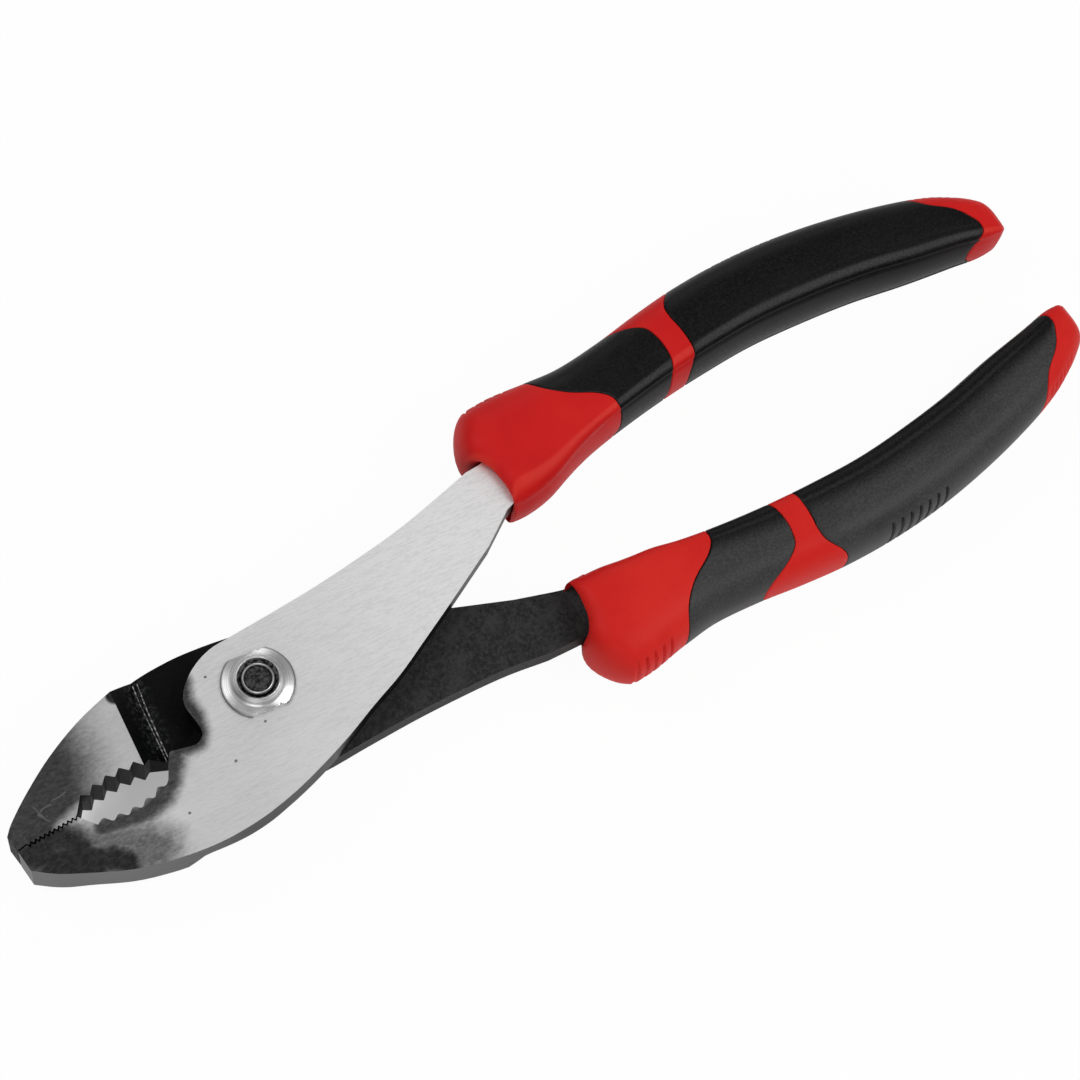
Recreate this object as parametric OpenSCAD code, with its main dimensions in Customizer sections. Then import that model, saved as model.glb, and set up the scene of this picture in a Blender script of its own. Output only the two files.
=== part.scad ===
// Slip joint pliers, eight inch class, lying on the pivot bolt's head and both grips.
// X runs from the pivot towards the handle ends, Y towards the upper handle, Z up through the nut.
// The origin is the centre of the bolt head's flat end.

/* [Levers] */
// Length of the jaws, from the pivot axis to the tip
jaw_l = 46.4; // [42:0.2:52]
// Width of the closed head, from one jaw's back to the other's
head_w = 31.4; // [29:0.2:35]
// Thickness of the jaws
jaw_t = 8.4; // [7.6:0.1:10]
// Length of the shanks, from the pivot axis to the mouths of the grips
shank_l = 51; // [48:0.5:60]
// Gap between the two laps
lap_gap = 0.1; // [0.06:0.02:0.2]

/* [Teeth] */
// Distance from the pivot down to the line where the jaws meet
bite_drop = 4.9; // [4.4:0.1:5.4]
// Number of coarse teeth in each side of the pipe grip
coarse_n = 5; // [3:1:5]
// Pitch of the coarse teeth
coarse_pitch = 2.45; // [2.2:0.05:2.5]
// Depth of a coarse tooth
coarse_d = 1.1; // [0.8:0.1:1.3]
// Radius of the pipe grip in the upper jaw
pipe_upper_r = 20; // [18:0.5:24]
// Radius of the pipe grip in the lower jaw
pipe_lower_r = 14.3; // [13:0.5:18]
// Width of the pipe grip between the tooth points
pipe_open = 5.6; // [5:0.1:6.4]
// Number of fine teeth at the nose
fine_n = 11; // [8:1:13]
// Depth of a fine tooth
fine_d = 0.5; // [0.3:0.05:0.7]
// Gap between the closed jaws
bite_gap = 0.25; // [0.2:0.05:0.4]

/* [Pivot] */
// Diameter of the bolt in the slot's round holes
bolt_d = 8.6; // [8:0.1:9.2]
// Width of the bolt across its two flats
bolt_flats = 6.2; // [5.6:0.1:6.8]
// Diameter of the bolt in the upper lever
journal_d = 7; // [6.6:0.1:7.6]
// Diameter of the bolt's threaded end
thread_d = 5.6; // [5.2:0.1:6]
// Diameter of the bolt's head
head_d = 13.4; // [12:0.2:15]
// Height of the bolt's head
head_h = 3.55; // [3.2:0.05:4.2]
// Distance between the slot's two holes
slip_pitch = 8; // [7:0.1:8.4]
// Lean of the slot away from the cross direction, in degrees
slot_lean = 15; // [5:1:22]
// Radial clearance of the bolt in its holes
run_clear = 0.05; // [0.03:0.01:0.09]
// Gap under the bolt's head and under the nut
face_gap = 0.05; // [0.03:0.01:0.1]
// Diameter of the nut's flange
nut_d = 12.2; // [11.4:0.1:13.2]
// Width of the nut across its two flats
nut_flats = 10.2; // [9.6:0.1:11]
// Height of the nut's flange
flange_h = 1.2; // [1:0.1:1.6]
// Height of the nut with its collar
nut_h = 2.5; // [2.2:0.1:3.2]
// Depth of the cone inside the nut's collar and of the hollow in the bolt's end
end_sink = 0.6; // [0.3:0.1:0.8]
// Diameter of the nut's collar
collar_d = 8.3; // [7.8:0.1:9]

/* [Grips] */
// Length of each grip
grip_l = 106; // [98:1:116]
// Distance from the tool's middle line to the outermost line of a grip
grip_out = 28.6; // [27:0.2:32]
// Thickness of each grip
grip_t = 15.6; // [15:0.1:17]
// Distance from the pivot down to the middle line between the grips
grip_drop = 2.5; // [2:0.1:3]
// Wall of the soft sleeves
sleeve_wall = 1.4; // [1:0.1:1.6]
// Gap at the seams of the sleeves
seam_gap = 0.06; // [0.04:0.01:0.12]
// Depth of the anti-slip grooves
groove_d = 0.45; // [0.3:0.05:0.6]
// Number of anti-slip grooves in a group
groove_n = 7; // [4:1:8]

/* [Tangs] */
// Width of each tang at the mouth of its grip
tang_w = 9.2; // [8.4:0.1:9.6]
// How far a tang stands past the joint plane, on the far side of its own face
tang_far = 3.2; // [2.6:0.1:3.6]
// Length of each tang inside its grip
tang_l = 93; // [80:1:95]
// Clearance of a tang in its grip
tang_clear = 0.05; // [0.03:0.01:0.1]

/* [Hidden] */
$fn = 96;

steel = [0.77, 0.77, 0.78];
oxide = [0.16, 0.16, 0.17];
nickel = [0.86, 0.86, 0.87];
dark_steel = [0.33, 0.33, 0.34];
hard_red = [0.78, 0.13, 0.14];
soft_black = [0.13, 0.13, 0.13];

half_t = jaw_t / 2;
mid_z = head_h + face_gap + half_t;
top_z = mid_z + half_t;
over = jaw_t;

// Points along a smooth curve through chosen points
curve_steps = 6;

// Lever outlines: the first number is a share of jaw_l left of the pivot and of shank_l right of it,
// the second is a share of head_w
upper_back_shares = [[-0.993, -0.277], [-0.93, -0.35], [-0.855, -0.414], [-0.694, -0.525],
    [-0.511, -0.592], [-0.347, -0.624], [-0.218, -0.627], [-0.101, -0.602], [0.024, -0.554],
    [0.153, -0.487], [0.273, -0.411], [0.408, -0.331], [0.555, -0.22], [0.671, -0.131], [0.88, 0.035]];
upper_ridge_shares = [[0.95, 0.452], [0.843, 0.414], [0.663, 0.358], [0.492, 0.325], [0.325, 0.303],
    [0.167, 0.293], [0, 0.287], [-0.075, 0.283], [-0.137, 0.257], [-0.19, 0.214], [-0.236, 0.152],
    [-0.258, 0.086], [-0.257, 0.03], [-0.253, -0.03], [-0.254, -0.083], [-0.27, -0.112],
    [-0.297, -0.126], [-0.335, -0.111], [-0.381, -0.092]];
upper_notch_shares = [[-0.39, -0.096], [-0.414, -0.15], [-0.44, -0.216]];
lower_back_shares = [[-1.004, -0.064], [-0.966, -0.01], [-0.873, 0.086], [-0.75, 0.191], [-0.614, 0.277],
    [-0.476, 0.334], [-0.356, 0.369], [-0.244, 0.376], [-0.138, 0.366], [0.014, 0.328], [0.157, 0.264],
    [0.314, 0.159], [0.49, 0.019], [0.678, -0.118], [0.873, -0.25]];
lower_belly_shares = [[0.88, -0.6], [0.706, -0.554], [0.451, -0.525], [0.235, -0.519], [0.039, -0.516],
    [-0.1, -0.462], [-0.185, -0.345], [-0.235, -0.22], [-0.276, -0.131], [-0.33, -0.106], [-0.4, -0.1]];

// Joint walls: the visible one in the upper jaw and the pocket behind the lower jaw, as shares of jaw_l
wall_top_share = 0.476;
wall_foot_share = 0.39;
wall_turn = 6;
wall_slope_share = wall_top_share - wall_foot_share;
// The wall bends round the corner of the lower jaw's face: turns in degrees, then the wall's top
// as a share of jaw_l left of the pivot
wall_bend_shares = [[20, 0.37], [48, 0.162], [75, -0.084]];
pocket_share = 0.414;
ramp_deep_share = 0.474;
ramp_end_share = 0.14;

// Chamfers of the bolt's head and end and the nut's step, as shares of head_h, thread_d and flange_h
head_chamfer_share = 0.2;
end_chamfer_share = 0.06;
rim_share = 0.25;

// Turn of the nut's flats clockwise, in degrees, and the collar's top as a share of its foot
nut_turn = 8;
collar_top_share = 0.84;

// Hollow in the bolt's end: its mouth and its floor as shares of the thread's radius
hollow_mouth_share = 0.84;
hollow_floor_share = 0.7;

// Where the tangs thicken inside the grips' mouths, as shares of shank_l
thick_from_share = 1.03;
thick_full_share = 1.12;

// Nose: where the fine teeth start and end, and the tip, as shares of jaw_l
fine_in_share = 0.768;
fine_out_share = 0.962;
tip_share = 0.998;
pipe_share = 0.59;

// Grip outline: share of grip_l from the mouth, then the outer and inner lines as shares of grip_out,
// then the half thickness as a share of grip_t
grip_shares = [[0, 0.936, 0.262, 0.49], [0.04, 0.944, 0.264, 0.496], [0.08, 0.946, 0.28, 0.498],
    [0.14, 0.92, 0.34, 0.491], [0.2, 0.899, 0.395, 0.478],
    [0.28, 0.92, 0.44, 0.478], [0.36, 0.962, 0.472, 0.489], [0.44, 0.993, 0.49, 0.498],
    [0.53, 1, 0.496, 0.498], [0.62, 0.979, 0.472, 0.494], [0.72, 0.923, 0.427, 0.482],
    [0.82, 0.839, 0.357, 0.458], [0.9, 0.745, 0.311, 0.424], [0.95, 0.65, 0.283, 0.372],
    [0.98, 0.555, 0.29, 0.288], [1, 0.43, 0.35, 0.11]];

// Mouth: place across the grip from -1, inner line, to 1, outer line, then the shares of grip_l
// at half height and at the top and bottom. The outer half stands forward as a round lobe.
mouth_shares = [[-1, 0.014, 0.015], [-0.6, 0.015, 0.017], [-0.3, 0.012, 0.013], [-0.1, 0.006, 0.007],
    [0.1, -0.009, 0.003], [0.3, -0.013, -0.001], [0.52, -0.011, 0.002], [0.7, -0.007, 0.009],
    [0.85, 0.002, 0.021], [1, 0.023, 0.038]];
// Rounded front of the mouth: share of the guard's length, then the inset as a share of grip_t
mouth_round_shares = [[0, 0.09], [0.012, 0.04], [0.035, 0.012]];
// How much of that inset the thin inner side takes, and how deep the tang's opening lies in the front,
// as a share of grip_t
mouth_thin_share = 0.2;
mouth_sink_share = 0.03;

// Seams: place across the grip, then the share of grip_l
guard_seam_shares = [[-1, 0.248], [-0.82, 0.244], [-0.5, 0.24], [-0.15, 0.219],
    [0.25, 0.18], [0.6, 0.155], [1, 0.14]];
band_front_shares = [[-1, 0.352], [-0.63, 0.36], [-0.27, 0.361], [0.04, 0.358],
    [0.37, 0.35], [0.69, 0.325], [1, 0.285]];
band_rear_shares = [[-1, 0.392], [-0.86, 0.4], [-0.49, 0.402], [-0.11, 0.4],
    [0.24, 0.397], [0.58, 0.402], [1, 0.432]];
tip_seam_shares = [[-1, 0.922], [-0.8, 0.945], [-0.44, 0.95], [-0.16, 0.942],
    [0.17, 0.924], [0.45, 0.889], [1, 0.863]];

// Tang: share of tang_l from the mouth, then its middle line as a share of grip_out
// and its width as a share of tang_w
tang_shares = [[0, 0.425, 1], [0.12, 0.53, 0.92], [0.24, 0.628, 0.83], [0.4, 0.717, 0.78],
    [0.56, 0.748, 0.74], [0.72, 0.722, 0.7], [0.88, 0.625, 0.61], [1, 0.53, 0.5]];

// Groups of grooves, as shares of their own stretch, and how far round the outer side they reach
guard_groove_shares = [0.05, 0.84];
main_groove_shares = [0.17, 0.475];
groove_reach_share = 0.6;

// Pieces of a smooth grip: points round a section and rings along each stretch
section_n = 24;
tang_rings = 8;
guard_rear_rings = 2;
neck_rings = 7;
pocket_neck_rings = 5;
band_rings = 3;
main_front_rings = 3;
main_rear_rings = 9;
pocket_main_rings = 9;
tip_rings = 7;

// Roundness of a section: tighter at the inner corners, rounder outside
inner_power = 4.4;
outer_power = 2.7;

function lerp(a, b, s) = a + (b - a) * s;

// Slope of a table's column at row i
function table_slope(t, c, i) =
    let (a = max(i - 1, 0), b = min(i + 1, len(t) - 1))
    (t[b][c] - t[a][c]) / (t[b][0] - t[a][0]);

// Smooth step between two values with given slopes
function smooth_step(v0, v1, m0, m1, s) =
    (2 * s ^ 3 - 3 * s ^ 2 + 1) * v0 + (s ^ 3 - 2 * s ^ 2 + s) * m0
    + (3 * s ^ 2 - 2 * s ^ 3) * v1 + (s ^ 3 - s ^ 2) * m1;

// Smooth value of a table's column at x
function table_at(t, c, x) =
    let (i = max([for (k = [0 : len(t) - 2]) if (k == 0 || t[k][0] <= x) k]),
         w = t[i + 1][0] - t[i][0])
    smooth_step(t[i][c], t[i + 1][c], table_slope(t, c, i) * w, table_slope(t, c, i + 1) * w,
        (x - t[i][0]) / w);

// Smooth open curve through points
function curve_point(p, i, s) =
    let (m0 = (p[i + 1] - p[max(i - 1, 0)]) / (i == 0 ? 1 : 2),
         m1 = (p[min(i + 2, len(p) - 1)] - p[i]) / (i + 2 > len(p) - 1 ? 1 : 2))
    smooth_step(p[i], p[i + 1], m0, m1, s);
function curve(p) = concat(
    [for (i = [0 : len(p) - 2], k = [0 : curve_steps - 1]) curve_point(p, i, k / curve_steps)],
    [p[len(p) - 1]]);

// Shares of a lever outline to places
function placed(shares) = [for (p = shares) [p[0] * (p[0] < 0 ? jaw_l : shank_l), p[1] * head_w]];

// Pipe grip: points of one toothed side, from the throat to the nose
// side is 1 for the upper jaw and -1 for the lower jaw
function coarse_row(side) =
    let (r = side > 0 ? pipe_upper_r : pipe_lower_r,
         cy = -bite_drop + side * (pipe_open / 2 - r))
    [for (k = [0 : 2 * coarse_n])
        let (x = (coarse_n - k) * coarse_pitch / 2,
             rk = k % 2 == 1 ? r : r + coarse_d)
        [x - pipe_share * jaw_l, cy + side * sqrt(rk ^ 2 - x ^ 2)]];

// Fine teeth: points of one side, from the pipe grip to the tip
function fine_row(side) =
    let (x0 = fine_in_share * jaw_l, x1 = fine_out_share * jaw_l)
    concat(
        [for (k = [0 : 2 * fine_n])
            [-lerp(x0, x1, k / (2 * fine_n)),
             -bite_drop + side * bite_gap / 2 + (k % 2 == 0 ? fine_d : -fine_d) / 2]],
        [[-tip_share * jaw_l, -bite_drop + side * bite_gap / 2]]);

// Tang: middle line and half width at a share of its length, measured from the tool's middle line
function tang_x(s) = shank_l + s * tang_l;
function tang_mid(s) = table_at(tang_shares, 1, s) * grip_out;
function tang_half(s) = table_at(tang_shares, 2, s) * tang_w / 2;
function tang_side(side) = [for (k = [0 : tang_rings])
    let (s = k / tang_rings) [tang_x(s), tang_mid(s) + side * tang_half(s)]];
function reversed(p) = [for (k = [len(p) - 1 : -1 : 0]) p[k]];
// Above and below the tool's middle line
function up_half(p) = [for (q = p) [q[0], q[1] - grip_drop]];
function down_half(p) = [for (q = p) [q[0], -q[1] - grip_drop]];

upper_outline = concat(
    curve(placed(upper_back_shares)),
    up_half(tang_side(-1)),
    up_half(reversed(tang_side(1))),
    curve(placed(upper_ridge_shares)),
    placed(upper_notch_shares),
    coarse_row(-1),
    fine_row(-1));

lower_outline = concat(
    curve(placed(lower_back_shares)),
    down_half(tang_side(-1)),
    down_half(reversed(tang_side(1))),
    curve(placed(lower_belly_shares)),
    coarse_row(1),
    fine_row(1));

// The slot's direction, from the hole in use to the free hole
slot_way = [sin(slot_lean), -cos(slot_lean)];

// Points of a grip's section at a share of its length
function side_power(t) = cos(t) < 0 ? inner_power : outer_power;
function across(t) = sign(cos(t)) * abs(cos(t)) ^ (2 / side_power(t));
function upright(t) = sign(sin(t)) * abs(sin(t)) ^ (2 / side_power(t));
function section_angle(k) = 360 * k / section_n;
// Outer and inner lines and half thickness; nothing changes in front of the mouth's own line
function grip_line(c, s) = table_at(grip_shares, c, max(s, 0)) * (c == 3 ? grip_t : grip_out);
function grip_point(s, t, inset, thin) =
    let (out = grip_line(1, s) - inset, inn = grip_line(2, s) + inset * thin)
    [shank_l + s * grip_l,
     (out + inn) / 2 + (out - inn) / 2 * across(t) - grip_drop,
     mid_z + (grip_line(3, s) - inset) * upright(t)];

// One ring between two seams; u runs from 0 at the first seam to 1 at the second
function seam_share(seam, t) = is_num(seam) ? seam
    : lerp(table_at(seam, 1, across(t)), table_at(seam, len(seam[0]) - 1, across(t)), upright(t) ^ 2);
function ring(from, to, u, inset, shift = 0, groove = 0, thin = 1) =
    [for (k = [0 : section_n - 1])
        let (t = section_angle(k),
             s = lerp(seam_share(from, t), seam_share(to, t), u) + shift / grip_l,
             reach = max(0, (across(t) - groove_reach_share) / (1 - groove_reach_share)))
        grip_point(s, t, inset + groove * reach, thin)];
function rings(from, to, n, inset, shift0 = 0, shift1 = 0) =
    [for (k = [0 : n]) ring(from, to, k / n, inset, lerp(shift0, shift1, k / n))];

// A stretch with a group of grooves across its outer side
function grooved_rings(from, to, n_front, n_rear, group, shift0 = 0, shift1 = 0) = concat(
    [for (k = [0 : 1 : n_front - 1]) let (u = group[0] * k / n_front)
        ring(from, to, u, 0, lerp(shift0, shift1, u))],
    [for (k = [0 : 2 * groove_n]) let (u = lerp(group[0], group[1], k / (2 * groove_n)))
        ring(from, to, u, 0, lerp(shift0, shift1, u), k % 2 == 1 ? groove_d : 0)],
    [for (k = [1 : n_rear]) let (u = lerp(group[1], 1, k / n_rear))
        ring(from, to, u, 0, lerp(shift0, shift1, u))]);

// Where the mouth's front lies at a distance from the tool's middle line
function front_x(v) =
    let (out = grip_line(1, 0), inn = grip_line(2, 0))
    shank_l + table_at(mouth_shares, 1, max(-1, min(1, (2 * v - out - inn) / (out - inn)))) * grip_l;

// One ring of the tang's pocket, with its corners on the tang's corners; the first follows the mouth
function pocket_ring(k, low, high) =
    let (s = k / tang_rings, zm = (high - low) / 2, zh = (high + low) / 2 + tang_clear)
    [for (j = [0 : section_n - 1])
        let (t = section_angle(j), m = max(abs(cos(t)), abs(sin(t))), side = cos(t) / m,
             x = k > 0 ? tang_x(s) + (k == tang_rings ? tang_clear : 0)
                 : front_x(tang_mid(0) + side * tang_half(0)) + mouth_sink_share * grip_t,
             u = k > 0 ? 0 : max(0, (x - shank_l) * tang_rings / tang_l),
             middle = lerp(tang_mid(s), tang_mid(1 / tang_rings), u),
             half = lerp(tang_half(s), tang_half(1 / tang_rings), u) + tang_clear)
        [x, middle + half * side - grip_drop, mid_z + zm + zh * sin(t) / m]];

// Closed skin over a row of rings: with caps at both ends, or joined end to start
module skin(rows, closed_loop = false) {
    n = section_n;
    last = len(rows) - 1;
    function at(i, k) = (i % len(rows)) * n + k % n;
    // Rings that run back towards the mouth are split along the other diagonal, so that
    // two skins over the same rings stay parallel
    walls = [for (i = [0 : closed_loop ? last : last - 1], k = [0 : n - 1])
        let (a = at(i, k), b = at(i, k + 1), c = at(i + 1, k + 1), d = at(i + 1, k),
             back = rows[(i + 1) % len(rows)][k][0] < rows[i][k][0])
        each back ? [[a, b, d], [b, c, d]] : [[a, b, c], [a, c, d]]];
    // A cap is a fan round its ring's own middle
    middles = closed_loop ? [] : [for (row = [rows[0], rows[last]]) [for (k = [1 : n]) 1] * row / n];
    fan = len(rows) * n;
    caps = closed_loop ? [] : [for (k = [0 : n - 1])
        each [[fan, at(0, k + 1), at(0, k)], [fan + 1, at(last, k), at(last, k + 1)]]];
    polyhedron(points = concat([for (row = rows) each row], middles), faces = concat(walls, caps),
        convexity = 10);
}

module core_body(low, high) {
    pocket = sleeve_wall + seam_gap;
    skin(concat(
        [for (k = [tang_rings : -1 : 0]) pocket_ring(k, low, high)],
        [for (f = mouth_round_shares)
            ring(mouth_shares, guard_seam_shares, f[0], f[1] * grip_t, thin = mouth_thin_share)],
        grooved_rings(mouth_shares, guard_seam_shares, 0, guard_rear_rings, guard_groove_shares),
        rings(guard_seam_shares, band_front_shares, pocket_neck_rings, pocket),
        rings(band_front_shares, band_rear_shares, band_rings, 0),
        rings(band_rear_shares, tip_seam_shares, pocket_main_rings, pocket),
        rings(tip_seam_shares, 1, tip_rings, 0)));
}

module neck_sleeve_body() {
    skin(concat(
        rings(guard_seam_shares, band_front_shares, neck_rings, 0, seam_gap, -seam_gap),
        reversed(rings(guard_seam_shares, band_front_shares, pocket_neck_rings, sleeve_wall,
            seam_gap, -seam_gap))),
        closed_loop = true);
}

module main_sleeve_body() {
    skin(concat(
        grooved_rings(band_rear_shares, tip_seam_shares, main_front_rings, main_rear_rings,
            main_groove_shares, seam_gap, -seam_gap),
        reversed(rings(band_rear_shares, tip_seam_shares, pocket_main_rings, sleeve_wall,
            seam_gap, -seam_gap))),
        closed_loop = true);
}

// The lower grip is the same moulding as the upper one, turned over about the tool's middle line
module turned_over() {
    translate([0, -grip_drop, mid_z]) rotate([180, 0, 0]) translate([0, grip_drop, -mid_z]) children();
}

module slab(outline, low, high) {
    translate([0, 0, low]) linear_extrude(high - low) polygon(outline);
}

// A side view, drawn along X and Z, pushed across the whole width
module side_cut(points) {
    translate([0, head_w + over, 0]) rotate([90, 0, 0]) linear_extrude(2 * (head_w + over)) polygon(points);
}

module upper_lever() {
    low_z = mid_z - half_t;
    color(steel) difference() {
        union() {
            slab(upper_outline, mid_z + lap_gap / 2, top_z);
            difference() {
                slab(upper_outline, low_z, mid_z + lap_gap / 2);
                // Pocket round the lower lever's lap
                translate([0, 0, low_z - over])
                    cylinder(r = pocket_share * jaw_l, h = half_t + over + lap_gap / 2);
                // Underside, rising from the jaw to the lap and falling again to the tang
                side_cut([[-ramp_deep_share * jaw_l, low_z], [-ramp_end_share * jaw_l, mid_z + lap_gap / 2],
                    [thick_from_share * shank_l, mid_z + lap_gap / 2],
                    [thick_full_share * shank_l, mid_z - tang_far],
                    [shank_l + tang_l + over, mid_z - tang_far], [shank_l + tang_l + over, low_z - over],
                    [-ramp_deep_share * jaw_l, low_z - over]]);
            }
        }
        translate([0, 0, mid_z - over]) cylinder(d = journal_d + 2 * run_clear, h = 2 * over);
    }
}

// The sloping wall at one turn about the pivot, cutting away all to its right above the lap
module jaw_wall(turn, from_share) {
    high_z = mid_z - lap_gap / 2;
    right = thick_from_share * shank_l / 2;
    rotate([0, 0, turn]) side_cut([[-from_share * jaw_l, top_z],
        [(wall_slope_share - from_share) * jaw_l, high_z], [right, high_z], [right, top_z + over],
        [-from_share * jaw_l, top_z + over]]);
}

module lower_lever() {
    high_z = mid_z - lap_gap / 2;
    color(oxide) difference() {
        union() {
            slab(lower_outline, mid_z - half_t, high_z);
            difference() {
                slab(lower_outline, high_z, top_z);
                // Sloping wall beside the jaw's face, the open lap and the thicker tang
                jaw_wall(-wall_turn, wall_top_share);
                intersection() {
                    translate([-jaw_l, 0, 0]) cube([jaw_l * (1 - ramp_end_share), head_w, top_z + over]);
                    for (bend = wall_bend_shares) jaw_wall(bend[0], bend[1]);
                }
                side_cut([[-ramp_end_share * jaw_l, high_z], [thick_from_share * shank_l, high_z],
                    [thick_full_share * shank_l, mid_z + tang_far],
                    [shank_l + tang_l + over, mid_z + tang_far], [shank_l + tang_l + over, top_z + over],
                    [-ramp_end_share * jaw_l, top_z + over]]);
            }
        }
        // Figure eight slot: two round holes joined by a neck for the bolt's flats
        translate([0, 0, -over]) {
            cylinder(d = bolt_d + 2 * run_clear, h = mid_z + 2 * over);
            translate(slip_pitch * slot_way) cylinder(d = bolt_d + 2 * run_clear, h = mid_z + 2 * over);
            rotate([0, 0, slot_lean - 90]) translate([0, -bolt_flats / 2 - run_clear, 0])
                cube([slip_pitch, bolt_flats + 2 * run_clear, mid_z + 2 * over]);
        }
    }
}

module pivot_bolt() {
    chamfer = head_chamfer_share * head_h;
    bolt_chamfer = end_chamfer_share * thread_d;
    thread_r = thread_d / 2;
    end_h = nut_h + face_gap;
    color(dark_steel) {
        // Head, journal and threaded end
        rotate_extrude() polygon([[0, 0], [head_d / 2 - chamfer, 0], [head_d / 2, chamfer],
            [head_d / 2, head_h - chamfer], [head_d / 2 - chamfer, head_h], [0, head_h]]);
        translate([0, 0, head_h]) intersection() {
            cylinder(d = bolt_d, h = mid_z - head_h);
            rotate([0, 0, slot_lean - 90]) translate([-bolt_d, -bolt_flats / 2, 0])
                cube([2 * bolt_d, bolt_flats, mid_z - head_h]);
        }
        translate([0, 0, mid_z]) cylinder(d = journal_d, h = half_t);
        translate([0, 0, top_z]) rotate_extrude() polygon([[0, 0], [thread_r, 0],
            [thread_r, end_h - bolt_chamfer], [thread_r - bolt_chamfer, end_h],
            [hollow_mouth_share * thread_r, end_h], [hollow_floor_share * thread_r, end_h - end_sink],
            [0, end_h - end_sink]]);
    }
}

module pivot_nut() {
    base_z = top_z + face_gap;
    rim = rim_share * flange_h;
    collar_r = collar_d / 2;
    top_r = collar_top_share * collar_r;
    color(nickel) difference() {
        intersection() {
            translate([0, 0, base_z]) rotate_extrude() polygon([[0, 0], [nut_d / 2, 0], [nut_d / 2, rim],
                [collar_r + rim, flange_h], [collar_r, flange_h + rim],
                [top_r, nut_h - rim / 2], [top_r - rim / 2, nut_h],
                [(top_r * 3 + thread_d / 2) / 4, nut_h], [thread_d / 2, nut_h - end_sink],
                [0, nut_h - end_sink]]);
            rotate([0, 0, -nut_turn]) translate([-nut_d, -nut_flats / 2, base_z - over])
                cube([2 * nut_d, nut_flats, nut_h + 2 * over]);
        }
        translate([0, 0, base_z - over]) cylinder(d = thread_d + 2 * run_clear, h = nut_h + 2 * over);
    }
}

module upper_grip_core() {
    color(hard_red) core_body(tang_far, half_t);
}

module upper_grip_neck_sleeve() {
    color(soft_black) neck_sleeve_body();
}

module upper_grip_main_sleeve() {
    color(soft_black) main_sleeve_body();
}

module lower_grip_core() {
    color(hard_red) turned_over() core_body(tang_far, half_t);
}

module lower_grip_neck_sleeve() {
    color(soft_black) turned_over() neck_sleeve_body();
}

module lower_grip_main_sleeve() {
    color(soft_black) turned_over() main_sleeve_body();
}

upper_lever();
lower_lever();
pivot_bolt();
pivot_nut();
upper_grip_core();
upper_grip_neck_sleeve();
upper_grip_main_sleeve();
lower_grip_core();
lower_grip_neck_sleeve();
lower_grip_main_sleeve();
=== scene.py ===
import math

import bmesh
import bpy
from mathutils import Matrix, Vector


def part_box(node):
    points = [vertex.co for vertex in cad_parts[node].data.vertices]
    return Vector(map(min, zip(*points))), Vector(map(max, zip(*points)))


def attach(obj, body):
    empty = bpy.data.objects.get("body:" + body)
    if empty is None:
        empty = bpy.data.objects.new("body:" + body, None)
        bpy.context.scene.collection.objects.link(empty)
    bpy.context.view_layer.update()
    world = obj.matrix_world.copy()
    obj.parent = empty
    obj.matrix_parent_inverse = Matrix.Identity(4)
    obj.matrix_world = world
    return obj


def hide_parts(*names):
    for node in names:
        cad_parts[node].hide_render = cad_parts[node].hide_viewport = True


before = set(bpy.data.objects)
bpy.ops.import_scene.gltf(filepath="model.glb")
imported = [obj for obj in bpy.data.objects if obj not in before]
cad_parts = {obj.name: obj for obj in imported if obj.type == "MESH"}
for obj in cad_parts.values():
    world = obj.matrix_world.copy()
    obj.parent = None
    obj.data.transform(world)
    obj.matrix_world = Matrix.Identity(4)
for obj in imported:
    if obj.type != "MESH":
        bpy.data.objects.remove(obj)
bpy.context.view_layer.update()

# One millimetre in metres. Points and sizes below are in millimetres where no comment says otherwise.
MM = 0.001

# Heights from the frame: the upper lever's face and the middle plane of the grips
_, lever_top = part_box("upper_lever")
core_low, core_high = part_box("upper_grip_core")
TOP_Z = lever_top.z / MM
MID_Z = (core_low.z + core_high.z) / 2 / MM

# The gap left between two pieces that touch, and the top of the lower lever's lap
GAP = 0.05
LAP_TOP = MID_Z - GAP

# The grips: their length, the place of their mouths, the width that GRIP_SHARES is given in, their
# thickness, and how far the line between the two lies from the pivot towards -Y
GRIP_L = 106.0
MOUTH_X = core_high.x / MM - GRIP_L
GRIP_OUT = 28.6
GRIP_T = 15.6
GRIP_DROP = 2.5


# Numbers and curves

def lerp(a, b, s):
    return a + (b - a) * s


def clamp(x, low=0.0, high=1.0):
    return max(low, min(high, x))


def smooth(x, low, high):
    """0 below low, 1 above high, with a soft ramp between."""
    t = clamp((x - low) / (high - low))
    return t * t * (3 - 2 * t)


def hermite(v0, v1, m0, m1, s):
    return ((2 * s ** 3 - 3 * s ** 2 + 1) * v0 + (s ** 3 - 2 * s ** 2 + s) * m0
            + (3 * s ** 2 - 2 * s ** 3) * v1 + (s ** 3 - s ** 2) * m1)


def table_at(table, x, column=1):
    """Smooth value of a table's column at x."""
    last = len(table) - 1
    x = clamp(x, table[0][0], table[last][0])
    i = max(k for k in range(last) if k == 0 or table[k][0] <= x)

    def slope(k):
        a, b = max(k - 1, 0), min(k + 1, last)
        return (table[b][column] - table[a][column]) / (table[b][0] - table[a][0])

    w = table[i + 1][0] - table[i][0]
    return hermite(table[i][column], table[i + 1][column], slope(i) * w, slope(i + 1) * w,
                   (x - table[i][0]) / w)


def signed_power(value, exponent):
    return math.copysign(abs(value) ** exponent, value)


def grey(level):
    return (level, level, level)


def lines_along(*paths):
    """The straight lines x0, y0, x1, y1 along paths of points."""
    return [(*a, *b) for path in paths for a, b in zip(path, path[1:])]


# Shader nodes

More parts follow.
